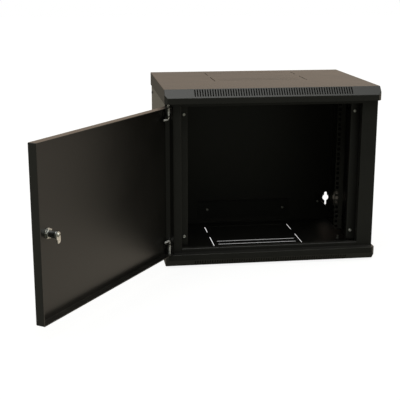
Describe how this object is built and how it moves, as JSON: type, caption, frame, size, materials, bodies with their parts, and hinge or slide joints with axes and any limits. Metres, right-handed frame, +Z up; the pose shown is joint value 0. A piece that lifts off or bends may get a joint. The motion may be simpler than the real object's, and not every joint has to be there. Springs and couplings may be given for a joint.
{
  "type": "wall mount network cabinet",
  "caption": "Wall mount network cabinet with a solid swing door, slotted sloping covers, depth-adjustable 19 inch rails, sprung hinge pins and a cam lock.",
  "frame": {"origin": "centre of the bottom cover's underside", "axes": "+X to the right seen from the front, +Y towards the wall, +Z up; the covers' front plane is Y = -0.225"},
  "size_m": [0.9368, 0.9286, 0.497],
  "materials": {
    "shell_paint": "black powder coat, fine orange-peel grain, satin",
    "frame_paint": "black powder coat, satin",
    "rail_paint": "black powder coat, satin",
    "black_steel": "black oxide",
    "zinc_steel": "bright zinc plate",
    "lock_chrome": "nickel plated die casting"
  },
  "bodies": {
    "cabinet": {"back_entry_cover": "shell_paint", "back_entry_screws": "zinc_steel", "back_panel": "shell_paint", "back_panel_screws": "zinc_steel", "bottom_cover": "shell_paint", "bottom_cross_member": "frame_paint", "earth_stud": "zinc_steel", "earth_stud_nut": "zinc_steel", "left_frame_strip": "rail_paint", "left_frame_strip_brackets": "rail_paint", "left_frame_strip_nuts": "zinc_steel", "left_frame_strip_screws": "zinc_steel", "left_front_post": "frame_paint", "left_side_panel": "shell_paint", "right_frame_strip": "rail_paint", "right_frame_strip_brackets": "rail_paint", "right_frame_strip_nuts": "zinc_steel", "right_frame_strip_screws": "zinc_steel", "right_front_post": "frame_paint", "right_side_panel": "shell_paint", "side_bar_lower_left": "frame_paint", "side_bar_lower_right": "frame_paint", "side_bar_upper_left": "frame_paint", "side_bar_upper_right": "frame_paint", "side_panel_screws": "black_steel", "top_cover": "shell_paint", "top_cross_member": "frame_paint"},
    "door": {"door_panel": "shell_paint", "upper_hinge_bracket": "shell_paint", "lower_hinge_bracket": "shell_paint", "upper_hinge_spring": "zinc_steel", "lower_hinge_spring": "zinc_steel", "lock_barrel": "lock_chrome", "lock_washer": "zinc_steel", "lock_nut": "zinc_steel"},
    "upper_pin": {"upper_hinge_pin": "zinc_steel", "upper_hinge_clip": "zinc_steel"},
    "lower_pin": {"lower_hinge_pin": "zinc_steel", "lower_hinge_clip": "zinc_steel"},
    "lock_core": {"lock_plug": "lock_chrome", "lock_cam": "zinc_steel", "lock_cam_screw": "zinc_steel"},
    "left_rail": {"left_rail": "rail_paint", "left_rail_screws": "zinc_steel", "left_rail_nuts": "zinc_steel"},
    "right_rail": {"right_rail": "rail_paint", "right_rail_screws": "zinc_steel", "right_rail_nuts": "zinc_steel"}
  },
  "joints": [
    {"name": "door_swing", "type": "hinge", "parent": "cabinet", "child": "door", "pos_m": [-0.2895, -0.2152, 0.246], "axis": [0, 0, -1], "range_deg": [-125.1, 50]},
    {"name": "upper_pin_retract", "type": "slide", "parent": "door", "child": "upper_pin", "axis": [0, 0, -1], "range_m": [0, 0.008], "stiffness_N_per_m": 350, "springref_m": -0.01, "deforming": ["upper_hinge_spring"]},
    {"name": "lower_pin_retract", "type": "slide", "parent": "door", "child": "lower_pin", "axis": [0, 0, 1], "range_m": [0, 0.008], "stiffness_N_per_m": 350, "springref_m": -0.01, "deforming": ["lower_hinge_spring"]},
    {"name": "lock_turn", "type": "hinge", "parent": "door", "child": "lock_core", "pos_m": [-0.59609, -0.65144, 0.239], "axis": [-0.8181, 0.575, 0], "range_deg": [0, 90]},
    {"name": "left_rail_depth", "type": "slide", "parent": "cabinet", "child": "left_rail", "axis": [0, 1, 0], "range_m": [-0.073, 0.082]},
    {"name": "right_rail_depth", "type": "slide", "parent": "cabinet", "child": "right_rail", "axis": [0, 1, 0], "range_m": [-0.073, 0.082]}
  ]
}
